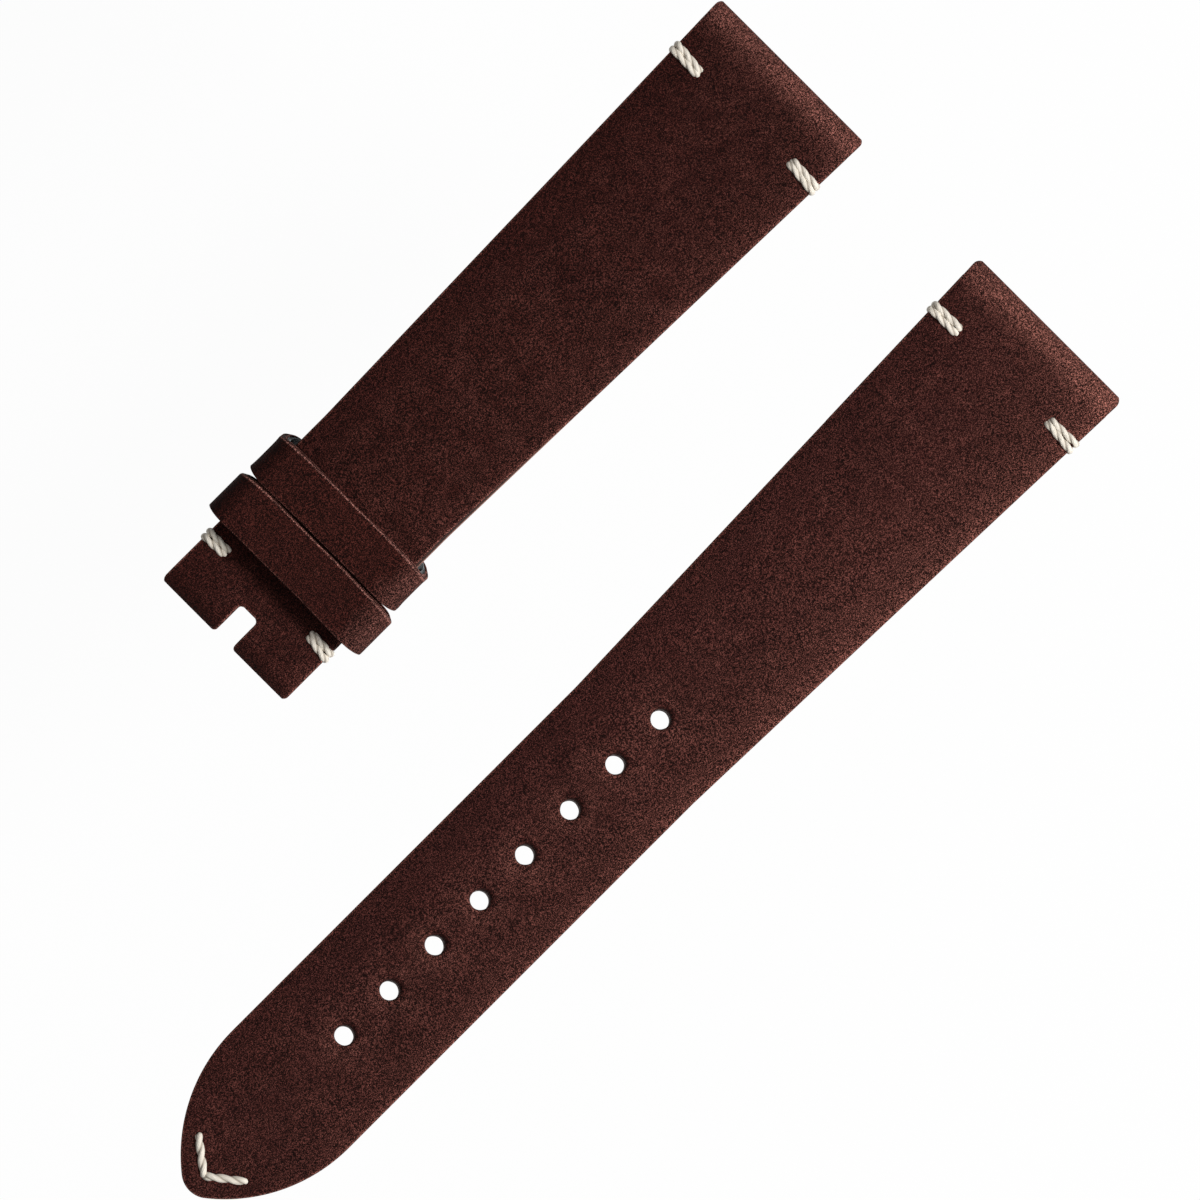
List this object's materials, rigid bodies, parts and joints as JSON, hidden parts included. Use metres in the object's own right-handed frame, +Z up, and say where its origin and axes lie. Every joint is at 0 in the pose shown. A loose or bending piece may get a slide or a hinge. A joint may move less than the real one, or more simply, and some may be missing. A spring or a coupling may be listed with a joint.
{
  "type": "leather watch strap",
  "caption": "Brown leather watch strap in separate halves: a buckle half with keepers and a tongue slot, and a pointed half with a row of adjusting holes, hand stitched at the ends.",
  "frame": {"origin": "middle of the base of the whole strap, both halves lying flat side by side as in the picture", "axes": "+X along both halves towards their lug ends (the watch), +Y from the long pointed half to the short buckle half, +Z up out of the face"},
  "size_m": [0.12, 0.0566, 0.0069],
  "materials": {
    "upper_leather": "waxed nubuck, matt with a soft sheen, lighter at worn edges",
    "lining_leather": "smooth matt lining calf",
    "keeper_leather": "waxed nubuck, matt with a soft sheen",
    "keeper_lining": "smooth grey lining calf",
    "thread": "twisted waxed linen thread",
    "stay_tape": "woven tape, out of sight",
    "filler_leather": "raw split leather, shows only at the edges"
  },
  "bodies": {
    "lug_sections": {"short_upper_lug": "upper_leather", "short_lining_lug": "lining_leather", "short_stay_lug": "stay_tape", "short_lug_filler": "filler_leather", "short_lug_stitch_left": "thread", "short_lug_stitch_right": "thread", "long_upper_lug": "upper_leather", "long_lining_lug": "lining_leather", "long_stay_lug": "stay_tape", "long_lug_filler": "filler_leather", "long_lug_stitch_left": "thread", "long_lug_stitch_right": "thread"},
    "short_middle": {"short_upper_middle": "upper_leather", "short_lining_middle": "lining_leather", "short_stay_middle": "stay_tape"},
    "short_buckle": {"short_upper_buckle": "upper_leather", "short_lining_buckle": "lining_leather", "short_stay_buckle": "stay_tape", "short_buckle_filler": "filler_leather", "short_buckle_stitch_left": "thread", "short_buckle_stitch_right": "thread", "fixed_keeper_leather": "keeper_leather", "fixed_keeper_lining": "keeper_lining"},
    "free_keeper": {"free_keeper_leather": "keeper_leather", "free_keeper_lining": "keeper_lining"},
    "long_body": {"long_upper_body": "upper_leather", "long_lining_body": "lining_leather", "long_stay_body": "stay_tape"},
    "long_holes_3": {"long_upper_holes_3": "upper_leather", "long_lining_holes_3": "lining_leather", "long_stay_holes_3": "stay_tape"},
    "long_holes_2": {"long_upper_holes_2": "upper_leather", "long_lining_holes_2": "lining_leather", "long_stay_holes_2": "stay_tape"},
    "long_holes_1": {"long_upper_holes_1": "upper_leather", "long_lining_holes_1": "lining_leather", "long_stay_holes_1": "stay_tape"},
    "long_tip": {"long_upper_tip": "upper_leather", "long_lining_tip": "lining_leather", "long_stay_tip": "stay_tape", "long_tip_stitch": "thread"}
  },
  "joints": [
    {"name": "short_bend_1", "type": "hinge", "parent": "lug_sections", "child": "short_middle", "pos_m": [0.037, 0.01794, 0.0009], "axis": [0, -1, 0], "range_deg": [0, 40], "stiffness_Nm_per_rad": 0.02},
    {"name": "short_bend_2", "type": "hinge", "parent": "short_middle", "child": "short_buckle", "pos_m": [0.018, 0.01794, 0.0009], "axis": [0, -1, 0], "range_deg": [0, 40], "stiffness_Nm_per_rad": 0.02},
    {"name": "free_keeper_slide", "type": "slide", "parent": "short_buckle", "child": "free_keeper", "axis": [1, 0, 0], "range_m": [0, 0.016]},
    {"name": "long_bend_1", "type": "hinge", "parent": "lug_sections", "child": "long_body", "pos_m": [0.037, -0.01806, 0.00025], "axis": [0, -1, 0], "range_deg": [0, 40], "stiffness_Nm_per_rad": 0.02},
    {"name": "long_bend_2", "type": "hinge", "parent": "long_body", "child": "long_holes_3", "pos_m": [0.015, -0.01806, 0.00025], "axis": [0, -1, 0], "range_deg": [0, 40], "stiffness_Nm_per_rad": 0.02},
    {"name": "long_bend_3", "type": "hinge", "parent": "long_holes_3", "child": "long_holes_2", "pos_m": [-0.00386, -0.01806, 0.00025], "axis": [0, -1, 0], "range_deg": [0, 40], "stiffness_Nm_per_rad": 0.02},
    {"name": "long_bend_4", "type": "hinge", "parent": "long_holes_2", "child": "long_holes_1", "pos_m": [-0.02273, -0.01806, 0.00025], "axis": [0, -1, 0], "range_deg": [0, 40], "stiffness_Nm_per_rad": 0.02},
    {"name": "long_bend_5", "type": "hinge", "parent": "long_holes_1", "child": "long_tip", "pos_m": [-0.04161, -0.01806, 0.00025], "axis": [0, -1, 0], "range_deg": [0, 40], "stiffness_Nm_per_rad": 0.02}
  ]
}
